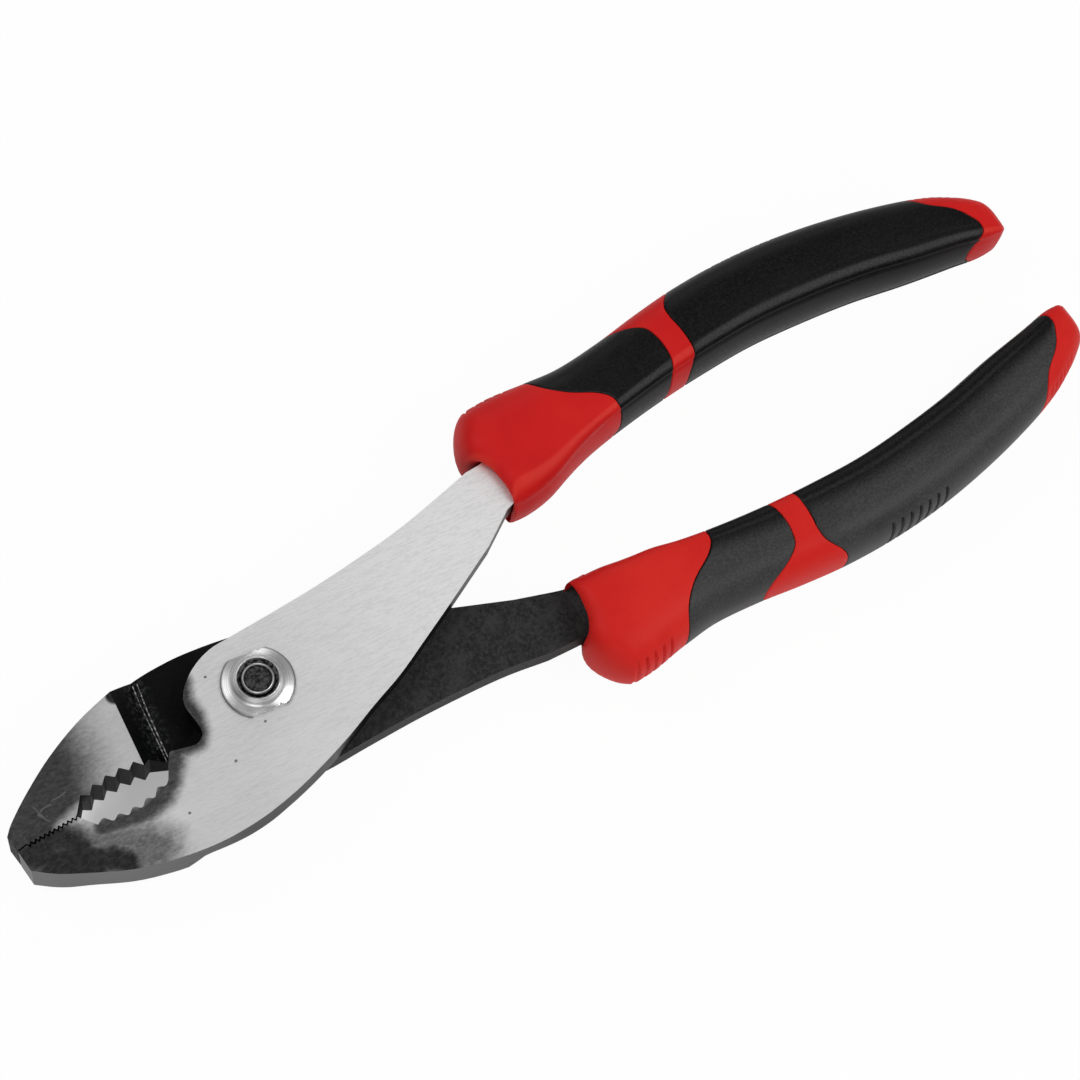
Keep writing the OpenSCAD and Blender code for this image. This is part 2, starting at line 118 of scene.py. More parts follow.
class Tree:
    """Short calls for the shader nodes used here."""

    def __init__(self, tree):
        self.tree = tree

    def add(self, kind, **settings):
        node = self.tree.nodes.new(kind)
        for key, value in settings.items():
            setattr(node, key, value)
        return node

    def wire(self, value, socket):
        """Links a node's output to the socket, or sets a plain number or colour on it."""
        if isinstance(value, bpy.types.NodeSocket):
            self.tree.links.new(value, socket)
        else:
            socket.default_value = value

    def math(self, operation, a, b=0.0, clamped=False):
        node = self.add("ShaderNodeMath", operation=operation, use_clamp=clamped)
        self.wire(a, node.inputs[0])
        self.wire(b, node.inputs[1])
        return node.outputs[0]

    def plus(self, a, b):
        return self.math("ADD", a, b)

    def minus(self, a, b):
        return self.math("SUBTRACT", a, b)

    def times(self, a, b):
        return self.math("MULTIPLY", a, b)

    def least(self, a, b):
        return self.math("MINIMUM", a, b)

    def most(self, first, *others):
        for other in others:
            first = self.math("MAXIMUM", first, other)
        return first

    def length(self, a, b):
        return self.math("SQRT", self.plus(self.times(a, a), self.times(b, b)))

    def seen(self, direct, reflected):
        """direct for rays from the camera, also through glass, reflected for mirrored ones, else 0."""
        path = self.add("ShaderNodeLightPath").outputs
        straight = self.most(path["Is Camera Ray"], path["Is Transmission Ray"])
        return self.most(self.times(straight, direct), self.times(path["Is Glossy Ray"], reflected))


class Nodes(Tree):
    """A material's node tree, with places in millimetres from the pivot."""

    def __init__(self, name):
        self.material = bpy.data.materials.new(name)
        self.material.use_nodes = True
        super().__init__(self.material.node_tree)
        self.shader = self.tree.nodes["Principled BSDF"]
        self.place = self.add("ShaderNodeTexCoord").outputs["Object"]

    def mapped(self, stretch=(1, 1, 1), turn=0.0):
        """The place, turned about Z by turn degrees and then stretched."""
        turned = self.add("ShaderNodeMapping")
        self.wire(self.place, turned.inputs["Vector"])
        self.wire((0, 0, math.radians(turn)), turned.inputs["Rotation"])
        self.wire((1 / MM,) * 3, turned.inputs["Scale"])
        stretched = self.add("ShaderNodeVectorMath", operation="MULTIPLY")
        self.wire(turned.outputs[0], stretched.inputs[0])
        self.wire(stretch, stretched.inputs[1])
        return stretched.outputs[0]

    def split(self, vector):
        node = self.add("ShaderNodeSeparateXYZ")
        self.wire(vector, node.inputs[0])
        return node.outputs[0], node.outputs[1], node.outputs[2]

    def axes(self):
        """The place's X, Y and Z."""
        return self.split(self.mapped())

    def noise_node(self, vector, cells, detail, rough=0.5):
        node = self.add("ShaderNodeTexNoise")
        self.wire(vector, node.inputs["Vector"])
        for name, number in (("Scale", cells), ("Detail", detail), ("Roughness", rough)):
            self.wire(number, node.inputs[name])
        return node

    def noise(self, cells, detail, stretch=(1, 1, 1), turn=0.0, rough=0.5):
        """Noise from 0 to 1, with cells per millimetre."""
        return self.noise_node(self.mapped(stretch, turn), cells, detail, rough).outputs["Fac"]

    def warped(self, wobble):
        """The place pushed about by noise, up to wobble millimetres, so that marks have uneven edges."""
        noise = self.noise_node(self.mapped(), WOBBLE_CELLS, WOBBLE_DETAIL).outputs["Color"]
        centred = self.add("ShaderNodeVectorMath", operation="MULTIPLY_ADD")
        for value, socket in zip((noise, (2 * wobble,) * 3, (-wobble,) * 3), centred.inputs):
            self.wire(value, socket)
        total = self.add("ShaderNodeVectorMath", operation="ADD")
        self.wire(self.mapped(), total.inputs[0])
        self.wire(centred.outputs[0], total.inputs[1])
        return total.outputs[0]

    def ramp(self, value, low, high, at_low=0.0, at_high=1.0):
        """Soft step from at_low, where value is low, to at_high, where it is high."""
        node = self.add("ShaderNodeMapRange", interpolation_type="SMOOTHSTEP")
        self.wire(value, node.inputs["Value"])
        for name, number in (("From Min", low), ("From Max", high), ("To Min", at_low), ("To Max", at_high)):
            self.wire(number, node.inputs[name])
        return node.outputs["Result"]

    def mix(self, share, a, b):
        """Mix of two colours."""
        node = self.add("ShaderNodeMix", data_type="RGBA")
        self.wire(share, node.inputs[0])
        for value, socket in ((a, node.inputs[6]), (b, node.inputs[7])):
            self.wire(value if isinstance(value, bpy.types.NodeSocket) else (*value, 1.0), socket)
        return node.outputs[2]

    def blend(self, share, a, b):
        """Mix of two numbers."""
        node = self.add("ShaderNodeMix", data_type="FLOAT")
        for value, socket in ((share, node.inputs[0]), (a, node.inputs[2]), (b, node.inputs[3])):
            self.wire(value, socket)
        return node.outputs[0]

    def greys(self, value, low, high, dark, light):
        """Grey from dark, where value is low, to light, where it is high."""
        return self.mix(self.ramp(value, low, high), grey(dark), grey(light))

    def tinted(self, base, value, low, high, share, level):
        """base with a grey mixed in: none where value is low, the whole share where it is high."""
        return self.mix(self.ramp(value, low, high, 0.0, share), base, grey(level))

    def distance(self, lines, wobble):
        """Distance to the nearest of the lines x0, y0, x1, y1."""
        x, y, _ = self.split(self.warped(wobble))
        nearest = None
        for x0, y0, x1, y1 in lines:
            ux, uy = x1 - x0, y1 - y0
            size = ux * ux + uy * uy
            px, py = self.minus(x, x0), self.minus(y, y0)
            dot = self.plus(self.times(px, ux / size), self.times(py, uy / size))
            along = self.least(self.most(dot, 0.0), 1.0)
            far = self.length(self.minus(px, self.times(along, ux)), self.minus(py, self.times(along, uy)))
            nearest = far if nearest is None else self.least(nearest, far)
        return nearest

    def marked(self, lines, wobble, near, far, inside=1.0, outside=0.0):
        """inside within near millimetres of the lines, fading to outside at far."""
        return self.ramp(self.distance(lines, wobble), near, far, inside, outside)

    def facing_y(self):
        """The surface normal's share along Y."""
        return self.split(self.add("ShaderNodeTexCoord").outputs["Normal"])[1]

    def ridge_highlight(self):
        """1 on the rounded inner edge of the upper grip, where a highlight is painted in."""
        _, y, _ = self.axes()
        facing = self.facing_y()
        edge = self.times(self.ramp(facing, -0.12, -0.3), self.ramp(facing, -0.8, -0.5))
        return self.times(edge, self.ramp(y, -6.0, -3.0))

    def lower_grip(self):
        """1 on the lower grip, fading at its guard's inner edge, 0 on the upper one."""
        _, y, _ = self.axes()
        return self.ramp(y, -11.0, -15.0)

    def coat(self, colour, roughness, metallic=0.0, specular=0.5):
        """Sets the shader's sockets. Metallic and specular are the same all over the surface."""
        for name, value in (("Base Color", colour), ("Roughness", roughness),
                            ("Metallic", metallic), ("Specular IOR Level", specular)):
            self.wire(value, self.shader.inputs[name])

    def bump(self, height, strength, depth):
        node = self.add("ShaderNodeBump")
        self.wire(strength, node.inputs["Strength"])
        self.wire(depth * MM, node.inputs["Distance"])
        self.wire(height, node.inputs["Height"])
        self.wire(node.outputs["Normal"], self.shader.inputs["Normal"])


# Cells per millimetre and detail of the noise that makes marks uneven
WOBBLE_CELLS = 0.5
WOBBLE_DETAIL = 4.0

# Marks on the steel, as paths of points seen from above
NOSE_SCALE = lines_along(
    ((-46.5, -6.3), (-42.0, -8.7), (-38.5, -10.7), (-34.5, -13.4), (-32.4, -15.4)),
    ((-43.5, -10.0), (-37.0, -13.5)),
    ((-45.5, -5.9), (-39.6, -6.2), (-37.6, -9.0)))
NOSE_HAZE = lines_along(
    ((-36.0, -9.5), (-30.5, -12.0), (-27.0, -15.5)),
    ((-33.0, -14.4), (-28.5, -16.2)))
TEETH_BURN = lines_along(
    ((-33.2, -8.3), (-29.2, -9.1), (-25.9, -9.6), (-22.4, -8.7), (-20.2, -7.0), (-18.2, -4.6), (-17.0, -3.2)))
LAP_BURN = lines_along(
    ((-10.2, 6.4), (-11.6, 3.2), (-11.3, 0.4), (-12.0, -2.4), (-13.2, -3.9), (-17.0, -3.4)))
UPPER_PITS = lines_along(
    ((-6.8, 5.1), (-6.75, 5.1)),
    ((-9.7, -9.6), (-9.6, -9.55)),
    ((-2.3, -6.2), (-2.25, -6.2)),
    ((-20.3, -13.2), (-20.25, -13.2)))
GROUND_PATCH = lines_along(((-22.4, 7.6), (-23.3, -0.6), (-24.6, -3.0)))
GROUND_STRIP = lines_along(((-38.5, -4.9), (-33.5, -3.6)))
DARK_CORNER = lines_along(((-20.2, 11.6), (-20.6, 9.9)))
FACE_SCRATCHES = lines_along(
    ((-40.9, 0.1), (-40.2, -2.2)),
    ((-40.2, -1.1), (-38.4, -1.0)),
    ((-40.7, -1.3), (-39.7, -3.3)),
    ((-37.7, -0.3), (-35.3, -0.4)))
BRIGHT_EDGES = lines_along(
    ((-46.2, -4.8), (-44.9, -9.0)),
    ((-20.3, -6.2), (-18.1, -2.9)),
    ((-13.2, -3.9), (-11.0, 1.0), (-10.2, 6.4)))

# The foot of the wall beside the lap, and a second line along it
WALL_FOOT = ((-16.9, 10.9), (-17.5, 7.45), (-17.85, 3.7), (-18.55, -3.0))
WALL_FOOT_INNER = ((-16.1, 11.0), (-16.95, 6.14), (-17.4, 2.85), (-18.0, -2.3))

# Direction of the brushing, in degrees, and how noise is stretched along it
BRUSH_TURN = 5.0
BRUSHED = {"stretch": (0.6, 1.0, 1.0), "turn": BRUSH_TURN}

# The black line along the fine teeth, painted shade of the crevice where the two jaws' teeth meet: its two
# ends and how softly they fade, its place across the tool, the pitch and the swing of its wave, half its
# width and the softness of its sides
BITE_FROM, BITE_TO = -35.635, -44.64
BITE_FADE = 0.2
BITE_Y = -4.9
BITE_PITCH = 0.8184
BITE_WAVE = 0.2
BITE_HALF = 0.27
BITE_SOFT = 0.06
BITE_SHADE_BLACK = grey(0.003)


def brushed(n, dark, bright):
    """Colour, roughness and height of a surface brushed along the lever, brighter towards the handles."""
    streaks = n.noise(cells=2.0, detail=4.0, stretch=(0.2, 1.4, 1.4), turn=BRUSH_TURN)
    fine = n.noise(cells=5.0, detail=3.0, stretch=(0.22, 1.0, 1.0), turn=BRUSH_TURN)
    clouds = n.noise(cells=0.12, detail=3.0, stretch=(0.5, 1.0, 1.0), turn=BRUSH_TURN)
    x, _, _ = n.axes()
    marks = n.blend(0.5, streaks, fine)
    colour = n.greys(x, -30.0, 50.0, dark, bright)
    colour = n.mix(n.ramp(marks, 0.32, 0.62, 0.3, 0.0), colour, grey(0.38))
    colour = n.tinted(colour, clouds, 0.35, 0.7, share=0.2, level=0.9)
    return colour, n.ramp(marks, 0.2, 0.8, 0.54, 0.46), marks


def forging_scale(n):
    """Mottled dark scale with a few paler specks."""
    mottle = n.noise(cells=1.6, detail=5.0, **BRUSHED)
    specks = n.noise(cells=3.2, detail=2.0)
    base = n.greys(mottle, 0.35, 0.7, dark=0.026, light=0.045)
    return n.tinted(base, specks, 0.66, 0.76, share=0.5, level=0.16)


def bite_shade_line(n):
    """1 in the black line along the points of the fine teeth, which it follows as a wave: painted shade where
    the jaws' teeth meet.
    """
    x, y, _ = n.axes()
    wave = n.math("COSINE", n.times(n.minus(x, BITE_FROM), 2 * math.pi / BITE_PITCH))
    off = n.math("ABSOLUTE", n.minus(n.minus(y, BITE_Y), n.times(wave, BITE_WAVE)))
    front = n.ramp(x, BITE_TO - BITE_FADE, BITE_TO + BITE_FADE)
    back = n.ramp(x, BITE_FROM, BITE_FROM + 2 * BITE_FADE, 1.0, 0.0)
    return n.times(n.ramp(off, BITE_HALF - BITE_SOFT, BITE_HALF + BITE_SOFT, 1.0, 0.0), n.times(front, back))


def speckled(n, mask, amount):
    """A mask broken up by fine grain where it is between 0 and 1."""
    grain = n.noise(cells=2.2, detail=6.0, rough=0.6, **BRUSHED)
    push = n.times(n.minus(grain, 0.5), amount)
    between = n.times(n.times(mask, n.minus(1.0, mask)), 4.0)
    return n.math("ADD", mask, n.times(push, n.plus(between, 0.1)), clamped=True)


def jaw_face(n, dark, bright, mask, bite, scale_rough):
    """Brushed metal where mask is 0 and scale where it is 1, with the teeth's painted shade line in the
    scale.
    """
    metal, rough, marks = brushed(n, dark, bright)
    scale = n.mix(bite, forging_scale(n), BITE_SHADE_BLACK)
    n.coat(n.mix(mask, metal, scale), n.blend(mask, rough, scale_rough), metallic=1.0)
    n.bump(marks, strength=0.25, depth=0.03)
    return n.material


def steel_upper_face():
    """The upper lever's face: brushed, with dark scale at the nose and beside the teeth and the lap."""
    n = Nodes("steel_upper_face")
    stains = n.most(n.marked(NOSE_SCALE, wobble=1.2, near=0.8, far=5.6),
                    n.marked(NOSE_HAZE, wobble=1.6, near=0.4, far=6.6, inside=0.78),
                    n.marked(TEETH_BURN, wobble=0.3, near=0.6, far=3.1, inside=0.93),
                    n.marked(LAP_BURN, wobble=0.2, near=0.3, far=2.4, inside=0.95))
    pits = n.marked(UPPER_PITS, wobble=0.1, near=0.14, far=0.3, inside=0.75)
    return jaw_face(n, 0.68, 1.0, n.most(speckled(n, stains, 0.6), pits), bite_shade_line(n), 0.42)


def steel_lower_face():
    """The lower lever's jaw: ground bright beside the wall and along the fine teeth, dark scale elsewhere."""
    n = Nodes("steel_lower_face")
    ground = n.marked(GROUND_PATCH, wobble=1.0, near=0.2, far=11.0, inside=0.08, outside=1.0)
    strip = n.marked(GROUND_STRIP, wobble=0.5, near=0.1, far=1.8, inside=0.3, outside=1.0)
    corner = n.marked(DARK_CORNER, wobble=0.1, near=1.3, far=2.0)
    scratches = n.marked(FACE_SCRATCHES, wobble=0.5, near=0.02, far=0.2, inside=0.13)
    scale = speckled(n, n.times(n.least(ground, strip), 0.95), 0.5)
    bite = bite_shade_line(n)
    mask = n.most(n.times(scale, n.minus(1.0, scratches)), corner, bite)
    return jaw_face(n, 0.6, 0.7, mask, bite, 0.4)


def steel_black():
    """Black oxide: deep black at the jaw, grey and mottled on the shank, with dust along the wall's foot."""
    n = Nodes("steel_black")
    grain = n.noise(cells=1.6, detail=8.0, rough=0.7)
    clouds = n.noise(cells=0.35, detail=4.0, rough=0.6)
    specks = n.noise(cells=4.0, detail=2.0)
    x, _, _ = n.axes()
    deep = n.mix(n.ramp(grain, 0.4, 0.75), (0.0010, 0.0011, 0.0013), (0.004, 0.0043, 0.005))
    pale = n.greys(grain, 0.35, 0.7, dark=0.016, light=0.048)
    pale = n.mix(n.ramp(clouds, 0.45, 0.7, 0.0, 0.6), pale, (0.048, 0.048, 0.0485))
    dust = n.marked(lines_along(WALL_FOOT), wobble=0.3, near=0.2, far=2.8, inside=0.7)
    base = n.mix(n.ramp(x, -8.0, 6.0), deep, pale)
    base = n.mix(n.times(dust, n.ramp(grain, 0.48, 0.66)), base, (0.10, 0.104, 0.104))
    base = n.tinted(base, specks, 0.68, 0.78, share=0.6, level=0.06)
    n.coat(base, n.ramp(grain, 0.3, 0.75, 0.4, 0.62), specular=0.08)
    n.bump(grain, strength=0.8, depth=0.12)
    return n.material


def steel_teeth():
    """Walls of the lower lever's coarse teeth: dark, with a dull shine."""
    n = Nodes("steel_teeth")
    grain = n.noise(cells=1.6, detail=6.0, rough=0.6)
    colour = n.greys(grain, 0.35, 0.7, dark=0.004, light=0.028)
    n.coat(colour, n.ramp(grain, 0.3, 0.75, 0.38, 0.5), metallic=0.7)
    n.bump(grain, strength=0.5, depth=0.08)
    return n.material


def steel_side():
    """The upper lever's forged walls: much darker than its face, darkest behind the jaw."""
    n = Nodes("steel_side")
    grain = n.noise(cells=1.4, detail=5.0, stretch=(0.4, 0.4, 1.0))
    x, _, _ = n.axes()
    nose = n.greys(grain, 0.3, 0.75, dark=0.06, light=0.12)
    back = n.greys(grain, 0.3, 0.75, dark=0.02, light=0.05)
    n.coat(n.mix(n.ramp(x, -34.0, -14.0), nose, back), n.ramp(grain, 0.3, 0.8, 0.34, 0.46), metallic=1.0)
    n.bump(grain, strength=0.3, depth=0.05)
    return n.material


def steel_edge():
    """The upper lever's edges: bright at the tip, the throat and beside the lap, dark elsewhere."""
    n = Nodes("steel_edge")
    grain = n.noise(cells=3.0, detail=3.0)
    dark = n.greys(grain, 0.3, 0.7, dark=0.06, light=0.2)
    bright = n.greys(grain, 0.3, 0.7, dark=0.6, light=0.9)
    worn = n.marked(BRIGHT_EDGES, wobble=0.1, near=0.8, far=1.4)
    n.coat(n.mix(worn, dark, bright), n.ramp(grain, 0.3, 0.8, 0.3, 0.42), metallic=1.0)
    return n.material


def steel_worn_black():
    """Black oxide rubbed thin, for the ridge at the wall's foot; on the nut's bore it is painted shade in the
    groove round the bolt.
    """
    n = Nodes("steel_worn_black")
    grain = n.noise(cells=1.8, detail=3.0)
    colour = n.greys(grain, 0.42, 0.62, dark=0.06, light=0.45)
    n.coat(colour, n.ramp(grain, 0.3, 0.8, 0.4, 0.55), metallic=0.6)
    n.bump(grain, strength=0.4, depth=0.05)
    return n.material


def nickel():
    """Nickel plate with turning marks round the axis, a little tarnish and a rim darkened as painted shade.
    """
    n = Nodes("nickel")
    x, y, _ = n.axes()
    radius = n.length(x, y)
    rings = n.add("ShaderNodeTexNoise", noise_dimensions="1D")
    for name, value in (("W", radius), ("Scale", 3.5), ("Detail", 3.0)):
        n.wire(value, rings.inputs[name])
    turned = rings.outputs["Fac"]
    tarnish = n.noise(cells=0.8, detail=4.0, rough=0.6)
    base = n.greys(turned, 0.35, 0.65, dark=0.58, light=0.8)
    base = n.tinted(base, tarnish, 0.5, 0.75, share=0.25, level=0.33)
    # Painted shade: the flange's rim is darkened
    base = n.tinted(base, radius, 5.72, 5.98, share=0.75, level=0.16)
    n.coat(base, n.ramp(tarnish, 0.3, 0.8, 0.34, 0.46), metallic=1.0)
    n.bump(turned, strength=0.2, depth=0.04)
    return n.material


def bolt_steel():
    """Dark turned steel with a coarse grain."""
    n = Nodes("bolt_steel")
    grain = n.noise(cells=2.2, detail=5.0, rough=0.6)
    colour = n.greys(grain, 0.35, 0.7, dark=0.012, light=0.11)
    n.coat(colour, n.ramp(grain, 0.3, 0.8, 0.35, 0.55), metallic=1.0)
    n.bump(grain, strength=0.8, depth=0.2)
    return n.material


def red_plastic():
    """Satin red with fine grain; painted light makes it a little paler on the lower grip, and a painted
    highlight runs along the upper one's inner edge.
    """
    n = Nodes("red_plastic")
    grain = n.noise(cells=3.0, detail=4.0, rough=0.6)
    clouds = n.ramp(n.noise(cells=0.1, detail=3.0), 0.3, 0.75)
    deep = n.mix(clouds, (0.64, 0.013, 0.013), (0.70, 0.018, 0.016))
    pale = n.mix(clouds, (0.70, 0.020, 0.016), (0.76, 0.028, 0.020))
    # Painted light: the lower grip gets the paler red
    base = n.mix(n.lower_grip(), deep, pale)
    base = n.mix(n.ramp(grain, 0.3, 0.7, 0.1, 0.0), base, (0.40, 0.006, 0.005))
    # Painted highlight along the upper grip's inner edge
    base = n.mix(n.times(n.ridge_highlight(), 0.3), base, (0.85, 0.07, 0.045))
    n.coat(base, n.ramp(grain, 0.3, 0.7, 0.42, 0.52), specular=0.09)
    n.bump(grain, strength=0.25, depth=0.05)
    return n.material


def black_rubber():
    """Soft moulding: deep black with a satin sheen, fine grain and pale dust, with painted sheen greying the
    lower grip and a painted highlight along the upper one's inner edge.
    """
    n = Nodes("black_rubber")
    grain = n.noise(cells=2.6, detail=6.0, rough=0.65)
    clouds = n.noise(cells=0.15, detail=3.0, stretch=(0.5, 1.0, 1.0))
    dust = n.noise(cells=3.4, detail=2.0)
    # Painted sheen: the lower grip turns grey wherever it doesn't face +Y
    painted_sheen = n.times(n.lower_grip(), n.ramp(n.facing_y(), 0.16, 0.02))
    # Painted highlight along the upper grip's inner edge
    ridge = n.times(n.ridge_highlight(), n.ramp(grain, 0.3, 0.6, 0.4, 0.9))
    clean = n.greys(grain, 0.35, 0.7, dark=0.001, light=0.01)
    sheen_grey = n.greys(grain, 0.35, 0.7, dark=0.04, light=0.068)
    base = n.mix(ridge, n.mix(painted_sheen, clean, sheen_grey), grey(0.042))
    base = n.tinted(base, clouds, 0.45, 0.75, share=0.3, level=0.011)
    base = n.tinted(base, dust, 0.7, 0.78, share=0.6, level=0.07)
    n.coat(base, n.ramp(grain, 0.3, 0.7, 0.34, 0.5), specular=0.12)
    n.bump(grain, strength=0.6, depth=0.07)
    return n.material


MATERIALS = {
    "upper_face": steel_upper_face(),
    "lower_face": steel_lower_face(),
    "side": steel_side(),
    "edge": steel_edge(),
    "black_steel": steel_black(),
    "teeth": steel_teeth(),
    "worn": steel_worn_black(),
    "nickel": nickel(),
    "bolt": bolt_steel(),
    "red": red_plastic(),
    "rubber": black_rubber(),
}


# Meshes

def piece(name, points, faces, materials, body, replaced=()):
    """A piece from points in millimetres."""
    mesh = bpy.data.meshes.new(name)
    mesh.from_pydata([tuple(c * MM for c in point) for point in points], [], faces)
    return finished(name, mesh, materials, body, replaced)


# Angle in degrees above which two faces meet in a sharp line, on turned and moulded pieces and on levers
SMOOTH_ANGLE = 40
LEVER_SMOOTH_ANGLE = 35


def finished(name, mesh, materials, body, replaced=(), smooth_angle=SMOOTH_ANGLE):
    """A mesh as a piece: its materials, its shading, its body and the nodes it stands for."""
    mesh.materials.clear()
    for material in materials:
        mesh.materials.append(MATERIALS[material])
    obj = bpy.data.objects.new(name, mesh)
    bpy.context.scene.collection.objects.link(obj)
    mesh.shade_smooth()
    mesh.set_sharp_from_angle(angle=math.radians(smooth_angle))
    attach(obj, body)
    if replaced:
        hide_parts(*replaced)
    return obj


def skin(rings, count, closed=False):
    """Faces over rings of count points each. closed joins the last ring to the first."""
    faces = []
    for i in range(rings if closed else rings - 1):
        j = (i + 1) % rings
        for k in range(count):
            m = (k + 1) % count
            faces.append((i * count + k, i * count + m, j * count + m, j * count + k))
    return faces


def capped_skin(rings, count):
    """Faces over the rings and over both ends."""
    last = (rings - 1) * count
    return skin(rings, count) + [tuple(reversed(range(count))), tuple(range(last, last + count))]


# The outer side of the upper lever's jaw: the line that bounds it, and how far its top and bottom edges
# stand out past the straight wall, by place along the tool
JAW_BACK = ((-47, -3), (-40, -9.5), (-30, -14.5), (-20, -17), (0, -15.5), (20, -9))
TOP_EDGE_OUT = ((-40, 0), (-34, 0.15), (-29, 0.36), (-24, 0.5), (-18, 0.48), (-13, 0.2), (-8, 0))
LOW_EDGE_OUT = ((-46, 0), (-42, -0.1), (-37, -0.3), (-30, 0), (-25, 0.2), (-20, 0.4), (-14, 0.5), (-6, 0.3),
                (3, 0.3), (14, 0))
# Where the jaw's underside steps up to the lap, the height in front of the step, and the top edge's depth
STEP_FROM, STEP_TO = -24.3, -20.3
STEP_LOW = 3.6
TOP_EDGE_DEPTH = 0.1

# The coarse teeth of each lever: their corners lie between x0, y0 and x1, y1, and their rounding's radius
COARSE_TEETH = {
    "upper_lever": ((-33.3, -11.5, -21.0, -5.6), 0.42),
    "lower_lever": ((-33.3, -5.0, -21.0, 1.6), 0.16),
}
TEETH_SEGMENTS = 3

# The levers' edges: width and segments of their rounding, and the smallest angle in degrees that gets it
EDGE_WIDTH = 0.2
EDGE_SEGMENTS = 2
EDGE_ANGLE = 32

# Points closer than this are one, and faces that meet at less than this angle in degrees are one
SAME_POINT = 0.002
SAME_PLANE = 0.5

# The order of a lever's materials: face, edges, side walls, level faces below, walls of the coarse teeth
FACE, EDGE, SIDE, LEVEL, TOOTH = range(5)


def jaw_side(vert):
    """Gives the outer side of the upper lever's jaw its draft and the step under it."""
    x, y, z = (c / MM for c in vert.co)
    if x > JAW_BACK[-1][0] or y > table_at(JAW_BACK, x):
        return
    if z > TOP_Z - TOP_EDGE_DEPTH:
        vert.co.y -= table_at(TOP_EDGE_OUT, x) * MM
        return
    vert.co.y -= table_at(LOW_EDGE_OUT, x) * MM
    step = lerp(STEP_LOW, LAP_TOP, smooth(x, STEP_FROM, STEP_TO))
    vert.co.z = max(z, step) * MM


def within(point, area):
    x, y = point.x / MM, point.y / MM
    return area[0] < x < area[2] and area[1] < y < area[3]


def upright(edge):
    """Whether an edge's ends lie over each other, to a hundredth of a millimetre."""
    a, b = (vert.co for vert in edge.verts)
    return math.hypot(a.x - b.x, a.y - b.y) < 0.01 * MM


def lever_material(face, teeth):
    """Number of the material of a lever's face, by where it looks and lies."""
    middle = face.calc_center_median()
    if face.normal.z > 0.9 and middle.z > (TOP_Z - 0.3) * MM:
        return FACE
    if abs(face.normal.z) > 0.5:
        return LEVEL
    return TOOTH if within(middle, teeth) else SIDE


def softened(node, name, materials, body, reshape=None):
    """A copy of a CAD lever with its edges and coarse teeth rounded."""
    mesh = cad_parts[node].data.copy()
    bm = bmesh.new()
    bm.from_mesh(mesh)
    bmesh.ops.remove_doubles(bm, verts=bm.verts, dist=SAME_POINT * MM)
    if reshape:
        for vert in bm.verts:
            reshape(vert)
    bm.normal_update()
    bmesh.ops.dissolve_limit(bm, angle_limit=math.radians(SAME_PLANE), verts=bm.verts, edges=bm.edges)
    teeth, radius = COARSE_TEETH[node]
    corners = [edge for edge in bm.edges if upright(edge) and within(edge.verts[0].co, teeth)]
    bmesh.ops.bevel(bm, geom=corners, offset=radius * MM, segments=TEETH_SEGMENTS, profile=0.5,
                    affect="EDGES")
    bm.normal_update()
    numbers = [lever_material(face, teeth) for face in bm.faces]
    bm.to_mesh(mesh)
    bm.free()
    obj = finished(name, mesh, materials, body, (node,), LEVER_SMOOTH_ANGLE)
    for face, number in zip(mesh.polygons, numbers):
        face.material_index = number
    bevel = obj.modifiers.new("edges", "BEVEL")
    bevel.width = EDGE_WIDTH * MM
    bevel.segments = EDGE_SEGMENTS
    bevel.limit_method = "ANGLE"
    bevel.angle_limit = math.radians(EDGE_ANGLE)
    bevel.use_clamp_overlap = True
    bevel.material = EDGE


def lathe(name, profile, materials, body, replaced, count=144):
    """A turned piece. Profile rows: radius, height, None or the half width across two flats with the
    direction of their normal in degrees, and the number of the material above the row."""
    points = []
    for radius, height, flats, _ in profile:
        for k in range(count):
            a = 2 * math.pi * k / count
            if flats is None:
                points.append((radius * math.cos(a), radius * math.sin(a), height))
                continue
            half, normal = flats
            turn = math.radians(normal)
            across = clamp(radius * math.cos(a - turn), -half, half)
            along = radius * math.sin(a - turn)
            points.append((across * math.cos(turn) - along * math.sin(turn),
                           across * math.sin(turn) + along * math.cos(turn), height))
    obj = piece(name, points, capped_skin(len(profile), count), materials, body, replaced)
    for i, (_, _, _, number) in enumerate(profile[:-1]):
        for k in range(count):
            obj.data.polygons[i * count + k].material_index = number


def tube(name, path, radius, material, body, count=8):
    """A thin rail along a path of points."""
    path = [Vector(p) for p in path]
    points = []
    for i, point in enumerate(path):
        way = (path[min(i + 1, len(path) - 1)] - path[max(i - 1, 0)]).normalized()
        side_way = way.cross(Vector((0, 0, 1))).normalized()
        rise_way = side_way.cross(way)
        for k in range(count):
            a = 2 * math.pi * k / count
            points.append(tuple(point + radius * (math.cos(a) * side_way + math.sin(a) * rise_way)))
    piece(name, points, capped_skin(len(path), count), (material,), body)


# Grips

# Share of the length, then the outer and inner lines as shares of GRIP_OUT and half the thickness as a
# share of GRIP_T
GRIP_SHARES = (
    (0, 0.936, 0.262, 0.49), (0.04, 0.944, 0.264, 0.496), (0.08, 0.946, 0.28, 0.498),
    (0.14, 0.92, 0.34, 0.491), (0.2, 0.899, 0.395, 0.478),
    (0.28, 0.92, 0.44, 0.478), (0.36, 0.962, 0.472, 0.489), (0.44, 0.993, 0.49, 0.498),
    (0.53, 1, 0.496, 0.498), (0.62, 0.979, 0.472, 0.494), (0.72, 0.923, 0.427, 0.482),
    (0.82, 0.839, 0.357, 0.458), (0.9, 0.745, 0.311, 0.424), (0.95, 0.65, 0.283, 0.372),
    (0.98, 0.574, 0.284, 0.3), (0.992, 0.532, 0.298, 0.22), (0.998, 0.48, 0.322, 0.13), (1, 0.43, 0.35, 0.05))

# How far the guards' inner and outer lines are shifted outwards from those of the shared moulding
GUARD_SHIFT = {"upper": -0.6, "lower": 0.7}
LOBE_SHIFT = {"upper": 0.0, "lower": 0.65}

